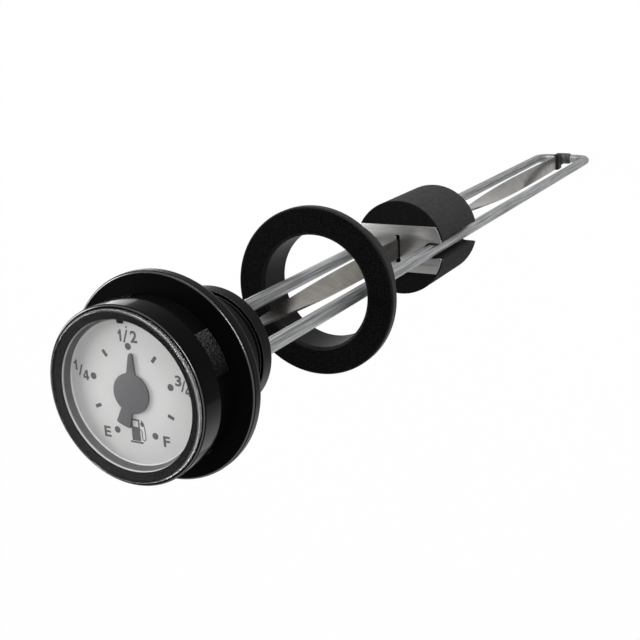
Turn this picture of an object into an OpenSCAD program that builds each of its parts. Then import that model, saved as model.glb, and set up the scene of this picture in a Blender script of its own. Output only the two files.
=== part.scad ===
// Marine fuel gauge: a float slides on two guide rods and turns a twisted ribbon, whose
// magnet turns the pointer of a sealed dial through the closed wall of the head.
// Z runs along the gauge with the dial up. Z = 0 is the underside of the flange.

/* [Head] */
// Outer diameter of the flange
flange_d = 40.8; // [39:0.1:46]
// Thickness of the flange at its rim
flange_t = 3; // [1.8:0.1:4]
// Radius of the flange's back edge, towards the tank
back_edge_r = 1.4; // [0.5:0.1:1.6]
// Radius of the flange's front edge
front_edge_r = 0.5; // [0.2:0.1:0.8]
// Height of the body above the flange
body_h = 4.8; // [4:0.1:7]
// Outer diameter of the neck that goes into the tank
neck_d = 25.7; // [25.3:0.1:28]
// Length of the neck below the flange
neck_l = 16; // [14.5:0.5:22]
// Length of plain neck between the flange and the groove
plain_l = 11; // [9:0.5:12]
// Width of the groove round the neck
groove_w = 2; // [1:0.1:2.5]
// Depth of the groove round the neck
groove_depth = 0.8; // [0.3:0.1:0.9]
// Thickness of the closed wall between the dial and the tank
wall_t = 2; // [1.2:0.1:2.4]
// Diameter of the magnet chamber in the neck
chamber_d = 14.8; // [14:0.1:15]

/* [Dial capsule] */
// Outer diameter of the capsule
capsule_d = 34; // [31:0.1:37]
// Step from the capsule in to the head's body, which the snap tabs fill in part
body_step = 1; // [0.7:0.1:1.5]
// Height of the capsule from its seat on the body to its lip
capsule_h = 6; // [5:0.1:7]
// Number of snap tabs round the capsule
tab_count = 4; // [2:1:6]
// Width of a snap tab, as an angle
tab_angle = 30; // [15:1:40]
// Thickness of a snap tab
tab_t = 0.6; // [0.4:0.1:0.6]
// Outer diameter of the pot that holds the pointer's magnet
pot_d = 19.6; // [18:0.1:21]
// Wall of the pot and of the capsule's floor
capsule_wall = 1; // [0.8:0.1:1.2]
// Wall of the capsule's lip round the lens
lip_wall = 0.7; // [0.3:0.1:1]
// Thickness of the lens
lens_t = 1.2; // [0.8:0.1:2]
// Radius of the lens's front edge
lens_edge_r = 0.5; // [0.1:0.1:0.7]
// Width of the black ring under the lens
ring_w = 1.9; // [1.3:0.1:3]
// Thickness of the black ring under the lens
ring_t = 0.4; // [0.3:0.1:0.6]
// Thickness of the dial plate
dial_t = 0.5; // [0.3:0.1:0.8]
// Width of the sloped rim from the black ring to the dial
rim_w = 0.7; // [0.4:0.1:2]
// Height of the light rim that stands on the dial plate
rim_h = 2; // [1:0.1:2.4]

/* [Pointer] */
// Distance from the centre to the pointer's tip
pointer_l = 7.7; // [6:0.1:8.4]
// Width of the pointer at its disc
pointer_w = 1.9; // [1:0.1:3]
// Width of the pointer at its tip
tip_w = 0.9; // [0.5:0.1:1.5]
// Diameter of the pointer's disc
pointer_disc_d = 7.7; // [5:0.1:10]
// Length of the counterweight from the centre
tail_l = 7; // [5:0.1:8]
// Width of the counterweight at its end
tail_w = 3.1; // [2:0.1:4]
// Angle from the pointer's back to its counterweight
tail_offset = 16; // [0:1:30]
// Thickness of the pointer
pointer_t = 0.3; // [0.2:0.1:0.4]
// Angle of the pointer clockwise from 12 o'clock
pointer_reading = 4.7; // [-30:0.1:30]
// Diameter of the pointer's pivot pin
pivot_d = 0.8; // [0.6:0.1:1]
// Diameter of the pointer's magnet
pointer_magnet_d = 15; // [10:0.1:15.4]
// Thickness of the pointer's magnet
pointer_magnet_t = 2; // [1:0.1:2.4]

/* [Drive] */
// Diameter of the drive magnet in the neck
drive_magnet_d = 13.2; // [10:0.1:13.4]
// Thickness of the drive magnet
drive_magnet_t = 2.6; // [1.5:0.1:3.5]
// Diameter of the stem that carries the ribbon
stem_d = 6; // [5.8:0.1:7]
// Diameter of the collar under the drive magnet
collar_d = 11; // [8:0.1:12]
// Thickness of the collar under the drive magnet
collar_t = 1.6; // [1:0.1:2.5]
// Diameter of the pin on top of the drive
drive_pin_d = 1; // [0.8:0.1:1.4]
// Thickness of the plate that closes the neck
neck_plate_t = 1.2; // [0.8:0.1:2]
// Diameter of the plate that closes the neck
neck_plate_d = 23.6; // [23.2:0.1:23.8]

/* [Guide rods] */
// Diameter of the bent guide rod
rod_d = 3.2; // [2.8:0.1:3.4]
// Distance between the centres of the rod's two legs
rod_gap = 19.3; // [19:0.1:19.5]
// Distance from the flange's underside to the centre of the cross bar
rod_reach = 272.4; // [260:1:400]
// Radius of the rod's bends on its centre line
bend_r = 4.6; // [3:0.1:5.5]
// Depth of the rod's legs in the neck
rod_socket = 11.5; // [8:0.5:12]

/* [Twisted ribbon] */
// Width of the ribbon
ribbon_w = 5.2; // [4.5:0.1:5.4]
// Thickness of the ribbon
ribbon_t = 0.5; // [0.3:0.05:0.6]
// Turn of the ribbon for each millimetre of the float's travel, in degrees
twist_rate = 1.4; // [1.2:0.05:1.6]
// Depth of the ribbon's ends in their slots
ribbon_hold = 2.6; // [1.5:0.1:3]
// Width of the foot across the ribbon's end
foot_w = 6.2; // [5.8:0.1:8]
// Thickness of the foot
foot_t = 2; // [1.6:0.1:3]
// Height of the foot
foot_h = 4.4; // [4:0.1:6]
// Diameter of the foot's pivot pin
foot_pin_d = 1.2; // [0.8:0.1:1.6]
// Outer diameter of the sleeve on the cross bar
sleeve_d = 4.2; // [4:0.1:6]
// Length of the sleeve on the cross bar
sleeve_l = 6.5; // [4:0.1:8]
// Outer diameter of the boss that holds the foot's pin
boss_d = 3.8; // [3:0.1:4]

/* [Float] */
// Diameter of the float
float_d = 25.9; // [25:0.1:26]
// Height of the float
float_h = 27; // [20:0.2:32]
// Distance from the flange's underside to the top of the float
float_drop = 107.2; // [95:0.1:110]
// Radius of the float's lower edge
float_edge_r = 1.4; // [0.5:0.1:2.5]
// Width of the side grooves that the rods run in
float_groove_w = 6; // [5:0.1:7]
// Diameter of the passage for the ribbon
float_bore_d = 7; // [6.5:0.1:9]
// Thickness of the stamped guide plate
guide_t = 0.6; // [0.4:0.1:1]
// Diameter of the guide plate over its round ends
guide_d = 25.3; // [24:0.1:25.8]
// Width of the guide plate across the rods
guide_w = 12.9; // [10:0.1:16]
// Length of the slit that the ribbon runs in
slit_l = 6.6; // [6.2:0.1:7.5]
// Width of the slit that the ribbon runs in
slit_w = 0.85; // [0.75:0.05:1.2]
// Diameter of the hole at the end of the slit
slit_hole_d = 1.2; // [1:0.1:1.6]

/* [Gasket] */
// Outer diameter of the gasket's rim
gasket_d = 40.4; // [38:0.1:42]
// Thickness of the gasket's rim
gasket_rim_t = 2.4; // [1.5:0.1:4]
// Bore of the gasket
gasket_bore_d = 27; // [26.8:0.1:28]
// Wall of the gasket's sleeve
gasket_wall = 2.9; // [2:0.1:4]
// Length of the gasket from its rim to the end of its sleeve
gasket_l = 10.5; // [6:0.5:11]
// Distance from the flange's underside to the gasket on the rods
gasket_drop = 57.8; // [50:0.1:65]

/* [Hidden] */
$fn = 96;
small_fn = 48;

// Clearances: pieces that sit in each other, shafts that turn, and open gaps
fit_gap = 0.03;
turn_gap = 0.05;
free_gap = 0.2;

// The head's body, the lens and what lies under it take their diameters from the capsule
body_d = capsule_d - 2 * (body_step + fit_gap);
lens_d = capsule_d - 2 * (lip_wall + fit_gap);
ring_opening_d = lens_d - 2 * ring_w;
dial_shown_d = ring_opening_d - 2 * rim_w;

// Levels along Z in the head
flange_top = flange_t;
body_top = flange_t + body_h;
chamber_top = 0.2;
wall_top = chamber_top + wall_t;
back_r = min(back_edge_r, flange_t - 2 * front_edge_r);
groove_top = -plain_l;
groove_bottom = groove_top - groove_w;
neck_chamfer = 0.2;
front_rise = 0.4;
front_top = flange_top + front_rise;
front_fillet = 0.5;

// Levels along Z in the capsule
floor_top = body_top + capsule_wall;
lip_top = body_top + capsule_h;
lip_edge_r = 0.6 * lip_wall;
lens_depth = 0.5;
lens_bottom = lip_top - lens_depth;
ring_bottom = lens_bottom - ring_t;
rim_top = ring_bottom;
dial_top = rim_top - rim_h;
dial_bottom = dial_top - dial_t;
lens_ledge = 1.2;
inner_d = lens_d - 2 * lens_ledge;
skirt_gap = 0.8;
cup_bottom = body_top + skirt_gap;
tab_bottom = front_top + front_fillet + free_gap;
tab_middle = 28;
pot_bottom = wall_top + free_gap;
pot_floor = pot_bottom + capsule_wall;

// Levels along Z of the pointer and its magnet
pointer_bottom = dial_top + free_gap;
magnet_bottom = pot_floor + 2.4;
magnet_top = magnet_bottom + pointer_magnet_t;
bush_d = 2;
bush_hole_d = 2.6;
bush_spigot_d = 1.2;
bush_bore_d = pivot_d + 2 * turn_gap;
pivot_root = pot_floor - capsule_wall / 2;
pivot_top = pointer_bottom - 0.1;

// Levels along Z of the drive in the neck
drive_top = chamber_top - 0.6;
collar_top = drive_top - drive_magnet_t;
collar_bottom = collar_top - collar_t;
bearing_d = 2.4;
bearing_l = 1;
drive_boss_d = 2.4;
drive_pin_top = chamber_top + bearing_l - 0.15;
plate_top = neck_plate_t - neck_l;
bush_top = plate_top + 0.6;
bush_flange_t = 0.7;
bush_bottom = -neck_l - bush_flange_t;
neck_bush_d = stem_d + 2.4;
bush_flange_d = neck_bush_d + 2;
stem_bottom = bush_bottom - 0.6;

// Levels along Z of the rods, the foot and the ribbon
leg_x = rod_gap / 2;
leg_top = rod_socket - neck_l;
bar_z = -rod_reach;
boss_top = bar_z + rod_d / 2 + 4.4;
foot_bottom = boss_top + 0.1;
foot_top = foot_bottom + foot_h;
foot_pin_bottom = boss_top - 2.9;
ribbon_bottom = foot_top - ribbon_hold;
ribbon_top = stem_bottom + ribbon_hold + 2;
slit_z = guide_t / 2 - float_drop;
slit_angle = 90;

// The float works from its highest place down to the empty mark of the dial
empty_mark = 151.2;
travel_down = (empty_mark + pointer_reading) / twist_rate;
steady_bottom = slit_z - travel_down - 2;
foot_angle = -90;
steady_bottom_angle = slit_angle + twist_rate * (steady_bottom - slit_z);
ribbon_top_angle = slit_angle + twist_rate * (stem_bottom - slit_z);
ribbon_slice = 3;

// Gasket hangs a little off centre on the rods
gasket_x = -0.1;
gasket_y = 0.4;
gasket_edge = 0.4;

// Ring between two radii and two levels
module ring(outer_d, inner_d, low, high) {
    translate([0, 0, low])
        difference() {
            cylinder(d = outer_d, h = high - low);
            translate([0, 0, -1]) cylinder(d = inner_d, h = high - low + 2);
        }
}

// Straight pin between two levels
module pin(d, low, high) {
    translate([0, 0, low]) cylinder(d = d, h = high - low, $fn = small_fn);
}

// Flat bar with a strip's section, used to cut the slots that hold the ribbon's ends
module ribbon_slot(angle, low, high) {
    translate([0, 0, low])
        rotate([0, 0, angle])
            translate([-ribbon_w / 2 - fit_gap, -ribbon_t / 2 - fit_gap, 0])
                cube([ribbon_w + 2 * fit_gap, ribbon_t + 2 * fit_gap, high - low]);
}

// Points of a quarter arc in the r-z plane
function arc(cx, cz, r, from, to, n = 6) =
    [for (i = [0 : n]) let (a = from + (to - from) * i / n) [cx + r * cos(a), cz + r * sin(a)]];

// Both places of what sits on the two legs
module at_legs() {
    for (side = [-1, 1]) translate([side * leg_x, 0, 0]) children();
}

// Moulded head: flange, round body and hollow neck, closed by a wall between the two magnets
module head() {
    flange_r = flange_d / 2;
    neck_r = neck_d / 2;
    body_r = body_d / 2;
    color("#1b1b1c")
        difference() {
            rotate_extrude()
                polygon(concat(
                    [[0, -neck_l], [neck_r - neck_chamfer, -neck_l], [neck_r, neck_chamfer - neck_l]],
                    [[neck_r, groove_bottom], [neck_r - groove_depth, groove_bottom]],
                    [[neck_r - groove_depth, groove_top], [neck_r, groove_top], [neck_r, 0]],
                    arc(flange_r - back_r, back_r, back_r, -90, 0),
                    arc(flange_r - front_edge_r, flange_top - front_edge_r, front_edge_r, 0, 90),
                    arc(body_r + front_fillet, front_top + front_fillet, front_fillet, 270, 180),
                    [[body_r, body_top], [0, body_top]]
                ));
            // Recess for the capsule's pot
            translate([0, 0, wall_top]) cylinder(d = pot_d + 2 * free_gap, h = body_top);
            // Magnet chamber, seat of the closing plate and blind hole of the bearing
            translate([0, 0, -neck_l - 1]) cylinder(d = chamber_d, h = neck_l + 1 + chamber_top);
            translate([0, 0, -neck_l - 1]) cylinder(d = neck_plate_d + 2 * fit_gap, h = neck_plate_t + 1);
            pin(bearing_d + 2 * fit_gap, chamber_top - 1, chamber_top + bearing_l);
            // Sockets of the guide rod's legs
            at_legs() pin(rod_d + 2 * fit_gap, -neck_l - 1, leg_top);
        }
}

// Black cup of the sealed dial capsule, with its snap tabs over the head's body
module capsule_cup() {
    capsule_r = capsule_d / 2;
    tab_inner_r = body_d / 2 + fit_gap;
    ledge_d = dial_shown_d + 0.4;
    color("#141415")
        difference() {
            union() {
                rotate_extrude()
                    polygon(concat(
                        [[0, cup_bottom], [capsule_r, cup_bottom]],
                        arc(capsule_r - lip_edge_r, lip_top - lip_edge_r, lip_edge_r, 0, 90),
                        [[0, lip_top]]
                    ));
                translate([0, 0, body_top]) cylinder(d = body_d, h = cup_bottom - body_top + 1);
                translate([0, 0, pot_bottom]) cylinder(d = pot_d, h = body_top - pot_bottom + 1);
                for (i = [0 : tab_count - 1])
                    rotate([0, 0, tab_middle - tab_angle / 2 + i * 360 / tab_count])
                        translate([0, 0, tab_bottom])
                            rotate_extrude(angle = tab_angle)
                                translate([tab_inner_r, 0])
                                    square([tab_t, cup_bottom - tab_bottom + tab_t]);
            }
            // Lens seat, wall above the dial, ledge under it and chamber of the magnet
            translate([0, 0, ring_bottom]) cylinder(d = lens_d + 2 * fit_gap, h = capsule_h);
            translate([0, 0, dial_bottom]) cylinder(d = inner_d, h = capsule_h);
            translate([0, 0, floor_top]) cylinder(d = ledge_d, h = capsule_h);
            translate([0, 0, pot_floor]) cylinder(d = pot_d - 2 * capsule_wall, h = body_top);
            pin(pivot_d + 2 * fit_gap, pivot_root, pot_floor + 1);
        }
}

// White dial plate with a hole for the pointer's bush; it carries the printed scale
module dial_plate() {
    color("#e9e8e6") ring(inner_d - 2 * fit_gap, bush_hole_d, dial_bottom, dial_top);
}

// Light rim on the dial plate, sloped towards the scale
module dial_rim() {
    inner = dial_shown_d / 2;
    outer = inner_d / 2 - fit_gap;
    color("#d9d8d6")
        rotate_extrude()
            polygon([
                [inner, dial_top], [outer, dial_top], [outer, rim_top],
                [ring_opening_d / 2 + 0.1, rim_top]
            ]);
}

// Black ring that seals the lens to the cup, with a small key at 12 o'clock
module lens_ring() {
    key_w = 0.6;
    key_l = 0.5;
    color("#202021")
        union() {
            ring(lens_d, ring_opening_d, ring_bottom, lens_bottom);
            translate([-key_w / 2, ring_opening_d / 2 - key_l, ring_bottom])
                cube([key_w, key_l + 0.3, ring_t]);
        }
}

// Clear flat lens with a rounded front edge
module lens() {
    lens_r = lens_d / 2;
    color("#dfe3e4", 0.35)
        rotate_extrude()
            polygon(concat(
                [[0, lens_bottom], [lens_r, lens_bottom]],
                arc(lens_r - lens_edge_r, lens_bottom + lens_t - lens_edge_r, lens_edge_r, 0, 90),
                [[0, lens_bottom + lens_t]]
            ));
}

// Pointer just above the dial: tapered finger, disc and flared counterweight
module pointer() {
    color("#8d8d8f")
        translate([0, 0, pointer_bottom])
            rotate([0, 0, -pointer_reading])
                difference() {
                    union() {
                        cylinder(d = pointer_disc_d, h = pointer_t);
                        linear_extrude(pointer_t)
                            polygon([
                                [-pointer_w / 2, -1], [pointer_w / 2, -1],
                                [tip_w / 2, pointer_l - tip_w / 2], [0, pointer_l],
                                [-tip_w / 2, pointer_l - tip_w / 2]
                            ]);
                        rotate([0, 0, -tail_offset])
                            linear_extrude(pointer_t)
                                polygon([
                                    [-tail_w * 0.3, 1], [tail_w * 0.3, 1],
                                    [tail_w / 2, -tail_l], [-tail_w / 2, -tail_l]
                                ]);
                    }
                    translate([0, 0, -1])
                        cylinder(d = bush_spigot_d + 2 * fit_gap, h = pointer_t + 2, $fn = small_fn);
                }
}

// Brass bush under the pointer, through the dial to the magnet
module pointer_bush() {
    color("#b08d4f")
        difference() {
            union() {
                pin(bush_d, magnet_top, pointer_bottom);
                pin(bush_spigot_d, pointer_bottom, pointer_bottom + pointer_t);
            }
            pin(bush_bore_d, magnet_top - 1, pointer_bottom);
        }
}

// Round magnet under the dial, which turns the pointer
module pointer_magnet() {
    color("#4a4a4e") ring(pointer_magnet_d, bush_bore_d, magnet_bottom, magnet_top);
}

// Steel pivot in the pot's floor, with a collar that the magnet rests above
module pointer_pivot() {
    color("#b9bbbe")
        union() {
            pin(pivot_d, pivot_root, pivot_top);
            pin(pivot_d + 1, pot_floor, magnet_bottom - 0.1);
        }
}

// Round magnet in the neck, turned by the ribbon
module drive_magnet() {
    color("#4a4a4e") ring(drive_magnet_d, drive_boss_d + 2 * fit_gap, collar_top, drive_top);
}

// Carrier: collar and boss for the magnet and a stem that grips the ribbon's upper end
module magnet_carrier() {
    color("#303032")
        difference() {
            union() {
                pin(drive_boss_d, collar_top, drive_top);
                translate([0, 0, collar_bottom]) cylinder(d = collar_d, h = collar_t);
                translate([0, 0, stem_bottom]) cylinder(d = stem_d, h = collar_bottom - stem_bottom);
            }
            pin(drive_pin_d + 2 * fit_gap, collar_bottom, drive_top + 1);
            ribbon_slot(ribbon_top_angle, stem_bottom - 1, ribbon_top + fit_gap);
        }
}

// Steel pin on top of the carrier
module drive_pin() {
    color("#b9bbbe") pin(drive_pin_d, collar_bottom, drive_pin_top);
}

// Blind bearing in the head's closed wall
module drive_bearing() {
    color("#b08d4f")
        ring(bearing_d, drive_pin_d + 2 * turn_gap, chamber_top, chamber_top + bearing_l);
}

// Plate that closes the neck round the rods and the stem
module neck_plate() {
    color("#8f9193")
        difference() {
            translate([0, 0, -neck_l]) cylinder(d = neck_plate_d, h = neck_plate_t);
            translate([0, 0, -neck_l - 1]) cylinder(d = neck_bush_d + 2 * fit_gap, h = neck_plate_t + 2);
            at_legs() pin(rod_d + 2 * fit_gap, -neck_l - 1, plate_top + 1);
        }
}

// Flanged bush that guides the stem
module neck_bush() {
    color("#b08d4f")
        difference() {
            union() {
                translate([0, 0, -neck_l]) cylinder(d = neck_bush_d, h = bush_top + neck_l);
                translate([0, 0, bush_bottom]) cylinder(d = bush_flange_d, h = bush_flange_t);
            }
            translate([0, 0, bush_bottom - 1])
                cylinder(d = stem_d + 2 * turn_gap, h = bush_top - bush_bottom + 2);
        }
}

// Guide rod: one round rod bent into a U, with its ends in the neck
module guide_rods() {
    corner_x = leg_x - bend_r;
    corner_z = bar_z + bend_r;
    color("#c4c5c6")
        union() {
            at_legs() pin(rod_d, corner_z, leg_top);
            for (side = [0, 180])
                rotate([0, 0, side])
                    translate([corner_x, 0, corner_z])
                        rotate([90, 90, 0])
                            rotate_extrude(angle = 90)
                                translate([bend_r, 0]) circle(d = rod_d, $fn = small_fn);
            translate([-corner_x, 0, bar_z])
                rotate([0, 90, 0]) cylinder(d = rod_d, h = 2 * corner_x, $fn = small_fn);
        }
}

// Angle of the ribbon at a level: straight in the stem, turning at the float's rate over the
// float's travel, more slowly down to the foot, and straight in the foot
function ribbon_angle(z) = z > steady_bottom
    ? slit_angle + twist_rate * (min(z, stem_bottom) - slit_z)
    : foot_angle
        + (steady_bottom_angle - foot_angle) * (max(z, foot_top) - foot_top) / (steady_bottom - foot_top);
function ribbon_corner(z, x, y) = let (a = ribbon_angle(z))
    [x * cos(a) - y * sin(a), x * sin(a) + y * cos(a), z];

// Twisted ribbon: rings of four corners, joined by pairs of triangles
module twisted_ribbon() {
    half_w = ribbon_w / 2;
    half_t = ribbon_t / 2;
    section = [[-half_w, -half_t], [half_w, -half_t], [half_w, half_t], [-half_w, half_t]];
    steps = ceil((stem_bottom - foot_top) / ribbon_slice);
    levels = concat(
        [ribbon_bottom],
        [for (i = [0 : steps]) foot_top + (stem_bottom - foot_top) * i / steps],
        [ribbon_top]
    );
    last = len(levels) - 1;
    color("#bdbab5")
        polyhedron(
            points = [for (z = levels, corner = section) ribbon_corner(z, corner[0], corner[1])],
            faces = concat(
                [[0, 1, 2], [0, 2, 3]],
                [for (i = [0 : last - 1], k = [0 : 3])
                    [4 * i + k, 4 * i + 4 + k, 4 * i + (k + 1) % 4]],
                [for (i = [0 : last - 1], k = [0 : 3])
                    [4 * i + 4 + k, 4 * i + 4 + (k + 1) % 4, 4 * i + (k + 1) % 4]],
                [[4 * last + 2, 4 * last + 1, 4 * last], [4 * last + 3, 4 * last + 2, 4 * last]]
            )
        );
}

// Foot that grips the ribbon's lower end
module ribbon_foot() {
    color("#3a3a3b")
        difference() {
            translate([0, 0, foot_bottom])
                linear_extrude(foot_h)
                    intersection() {
                        square([foot_t, foot_w], center = true);
                        circle(d = foot_w, $fn = small_fn);
                    }
            ribbon_slot(foot_angle, ribbon_bottom - fit_gap, foot_top + 1);
            pin(foot_pin_d + 2 * fit_gap, foot_bottom - 1, ribbon_bottom);
        }
}

// Pivot pin under the foot
module foot_pin() {
    color("#b9bbbe") pin(foot_pin_d, foot_pin_bottom, ribbon_bottom - fit_gap);
}

// Bearing on the cross bar: a sleeve round the bar and a boss for the foot's pin
module foot_bearing() {
    color("#2c2c2d")
        difference() {
            union() {
                translate([-sleeve_l / 2, 0, bar_z])
                    rotate([0, 90, 0]) cylinder(d = sleeve_d, h = sleeve_l, $fn = small_fn);
                pin(boss_d, bar_z, boss_top);
            }
            translate([-sleeve_l / 2 - 1, 0, bar_z])
                rotate([0, 90, 0]) cylinder(d = rod_d + 2 * fit_gap, h = sleeve_l + 2, $fn = small_fn);
            pin(foot_pin_d + 2 * turn_gap, foot_pin_bottom - 0.1, boss_top + 1);
        }
}

// Side groove of the float, round at its bottom and open to the side
module float_groove() {
    groove_r = float_groove_w / 2;
    for (side = [0, 180])
        rotate([0, 0, side])
            translate([leg_x, 0, -float_drop - float_h - 1]) {
                cylinder(r = groove_r, h = float_h + 2, $fn = small_fn);
                translate([0, -groove_r, 0]) cube([float_d, float_groove_w, float_h + 2]);
            }
}

// Float of closed-cell foam with a groove for each rod and a passage for the ribbon
module float_body() {
    float_r = float_d / 2;
    top_edge = 0.3;
    color("#4b4b4c")
        difference() {
            translate([0, 0, -float_drop])
                rotate_extrude()
                    polygon(concat(
                        [[0, -float_h]],
                        arc(float_r - float_edge_r, float_edge_r - float_h, float_edge_r, -90, 0),
                        [[float_r, -top_edge], [float_r - top_edge, 0], [0, 0]]
                    ));
            translate([0, 0, -float_drop - float_h - 1]) cylinder(d = float_bore_d, h = float_h + 2);
            float_groove();
        }
}

// Stamped guide plate on the float, notched round the rods, with the slit for the ribbon
module float_guide() {
    notch_r = rod_d / 2 + 0.5;
    color("#b4b4b3")
        translate([0, 0, -float_drop])
            difference() {
                linear_extrude(guide_t)
                    intersection() {
                        circle(d = guide_d);
                        offset(r = 1, $fn = small_fn) square([guide_d - 2, guide_w - 2], center = true);
                    }
                for (side = [0, 180])
                    rotate([0, 0, side])
                        translate([leg_x, 0, -1]) {
                            cylinder(r = notch_r, h = guide_t + 2, $fn = small_fn);
                            translate([0, -notch_r, 0]) cube([guide_d, 2 * notch_r, guide_t + 2]);
                        }
                translate([-slit_w / 2, -slit_l / 2, -1]) cube([slit_w, slit_l, guide_t + 2]);
                translate([0, -slit_l / 2, -1]) cylinder(d = slit_hole_d, h = guide_t + 2, $fn = small_fn);
            }
}

// Rubber gasket: flat rim for the flange and a sleeve that fits over the neck
module gasket() {
    rim_radius = gasket_d / 2;
    bore_r = gasket_bore_d / 2;
    sleeve_r = bore_r + gasket_wall;
    color("#232324")
        translate([gasket_x, gasket_y, -gasket_drop])
            rotate_extrude()
                polygon(concat(
                    [[bore_r, -gasket_l], [sleeve_r - gasket_edge, -gasket_l]],
                    [[sleeve_r, gasket_edge - gasket_l], [sleeve_r, -gasket_rim_t]],
                    arc(rim_radius - gasket_edge, gasket_edge - gasket_rim_t, gasket_edge, -90, 0, 3),
                    arc(rim_radius - gasket_edge, -gasket_edge, gasket_edge, 0, 90, 3),
                    [[bore_r, 0]]
                ));
}

head();
capsule_cup();
dial_plate();
dial_rim();
lens_ring();
lens();
pointer();
pointer_bush();
pointer_magnet();
pointer_pivot();
drive_magnet();
magnet_carrier();
drive_pin();
drive_bearing();
neck_plate();
neck_bush();
guide_rods();
twisted_ribbon();
ribbon_foot();
foot_pin();
foot_bearing();
float_body();
float_guide();
gasket();
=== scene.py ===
# Marine fuel gauge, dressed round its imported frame, in the order in which it is put together.
# Lengths in the sections are in millimetres, and mm() turns them to Blender's metres.
import math

import bmesh
import bpy
from mathutils import Matrix, Vector


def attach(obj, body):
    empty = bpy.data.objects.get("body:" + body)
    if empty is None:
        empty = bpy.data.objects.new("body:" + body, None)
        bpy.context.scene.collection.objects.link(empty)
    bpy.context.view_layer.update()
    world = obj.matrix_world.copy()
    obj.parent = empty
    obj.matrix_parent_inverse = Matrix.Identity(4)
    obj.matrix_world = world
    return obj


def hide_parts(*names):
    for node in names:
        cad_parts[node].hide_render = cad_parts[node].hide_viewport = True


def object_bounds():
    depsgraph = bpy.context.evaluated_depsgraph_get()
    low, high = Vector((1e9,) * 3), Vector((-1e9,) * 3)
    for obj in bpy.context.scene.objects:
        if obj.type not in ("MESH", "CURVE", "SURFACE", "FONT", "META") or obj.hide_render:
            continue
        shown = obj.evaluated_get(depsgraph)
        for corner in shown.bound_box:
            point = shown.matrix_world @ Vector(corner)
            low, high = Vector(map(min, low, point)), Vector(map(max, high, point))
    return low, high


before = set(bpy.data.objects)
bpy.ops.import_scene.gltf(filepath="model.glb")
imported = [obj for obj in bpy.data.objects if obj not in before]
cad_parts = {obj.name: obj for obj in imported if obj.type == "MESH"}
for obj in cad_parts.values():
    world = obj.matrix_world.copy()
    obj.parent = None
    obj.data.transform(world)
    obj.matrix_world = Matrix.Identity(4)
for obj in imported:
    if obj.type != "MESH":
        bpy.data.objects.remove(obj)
cad_box = [list(corner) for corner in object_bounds()]

# Camera
# A short telephoto view from above the dial's right edge, along the gauge to its far end. Its
# axes are given in the gauge's own frame.


def mm(*values):
    """Millimetres as metres: one number, or a vector of three."""
    return values[0] / 1000 if len(values) == 1 else Vector(values) / 1000


camera_data = bpy.data.cameras.new("camera")
camera_data.lens = 59.99
camera_data.sensor_width = 36
camera_data.clip_start = mm(10)
camera = bpy.data.objects.new("camera", camera_data)
camera_place = mm(114.68, 66.01, 152.582)
camera_right = Vector((0.88543, -0.04201, -0.46286))
camera_up = Vector((-0.09843, 0.95637, -0.27509))
camera_axes = Matrix((camera_right, camera_up, camera_right.cross(camera_up))).transposed()
camera.matrix_world = Matrix.Translation(camera_place) @ camera_axes.to_4x4()
bpy.context.scene.collection.objects.link(camera)
bpy.context.scene.camera = camera
bpy.context.scene.view_settings.view_transform = "Standard"

# Studio
# A white sweep of matt paper under the gauge, a pale room round it and soft boxes for the black
# mouldings and the bright rods to mirror. The paper is white to the lens and keeps the shadow.


def linear(code):
    """Linear colour of an sRGB hex value."""
    channels = [int(code[i : i + 2], 16) / 255 for i in (1, 3, 5)]
    return [c / 12.92 if c <= 0.04045 else ((c + 0.055) / 1.055) ** 2.4 for c in channels] + [1]


def set_inputs(node, inputs):
    """Gives each of a node's inputs a value, or a link from another node's socket."""
    for key, value in inputs.items():
        if isinstance(value, bpy.types.NodeSocket):
            node.id_data.links.new(value, node.inputs[key])
        else:
            node.inputs[key].default_value = value


def add_node(tree, kind, inputs=None, **settings):
    """New node of a tree with its settings and inputs."""
    node = tree.nodes.new(kind)
    for name, value in settings.items():
        setattr(node, name, value)
    set_inputs(node, inputs or {})
    return node


def new_material(name):
    """Material whose node tree is empty, and that tree."""
    material = bpy.data.materials.new(name)
    material.use_nodes = True
    material.node_tree.nodes.clear()
    return material, material.node_tree


def seen_directly(tree):
    """1 for rays from the camera, a mirror or a glass, and 0 for rays that gather light."""
    path = add_node(tree, "ShaderNodeLightPath")
    mirrored = add_node(
        tree,
        "ShaderNodeMath",
        {0: path.outputs["Is Camera Ray"], 1: path.outputs["Is Glossy Ray"]},
        operation="MAXIMUM",
    )
    seen = add_node(
        tree,
        "ShaderNodeMath",
        {0: mirrored.outputs[0], 1: path.outputs["Is Transmission Ray"]},
        operation="MAXIMUM",
    )
    return seen.outputs[0]


white = linear("#ffffff")
room_light = 0.3
paper_share_of_white = 0.98

world = bpy.data.worlds.new("pale_room")
world.use_nodes = True
bpy.context.scene.world = world
room = world.node_tree
room.nodes.clear()
ambient = add_node(room, "ShaderNodeBackground", {"Color": white, "Strength": room_light})
backdrop = add_node(room, "ShaderNodeBackground", {"Color": white, "Strength": 1.0})
room_mix = add_node(
    room,
    "ShaderNodeMixShader",
    {0: seen_directly(room), 1: ambient.outputs[0], 2: backdrop.outputs[0]},
)
add_node(room, "ShaderNodeOutputWorld", {"Surface": room_mix.outputs[0]})

# Matt paper: takes the gauge's soft shadow, and is pure white to the lens elsewhere.
paper, tree = new_material("matt_white_paper")
lit = add_node(tree, "ShaderNodeBsdfDiffuse", {"Color": linear("#f2f2f2")})
glow = add_node(tree, "ShaderNodeEmission", {"Color": white, "Strength": 1.0})
share = add_node(
    tree, "ShaderNodeMath", {0: seen_directly(tree), 1: paper_share_of_white}, operation="MULTIPLY"
)
paper_mix = add_node(
    tree, "ShaderNodeMixShader", {0: share.outputs[0], 1: lit.outputs[0], 2: glow.outputs[0]}
)
add_node(tree, "ShaderNodeOutputMaterial", {"Surface": paper_mix.outputs[0]})

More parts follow.
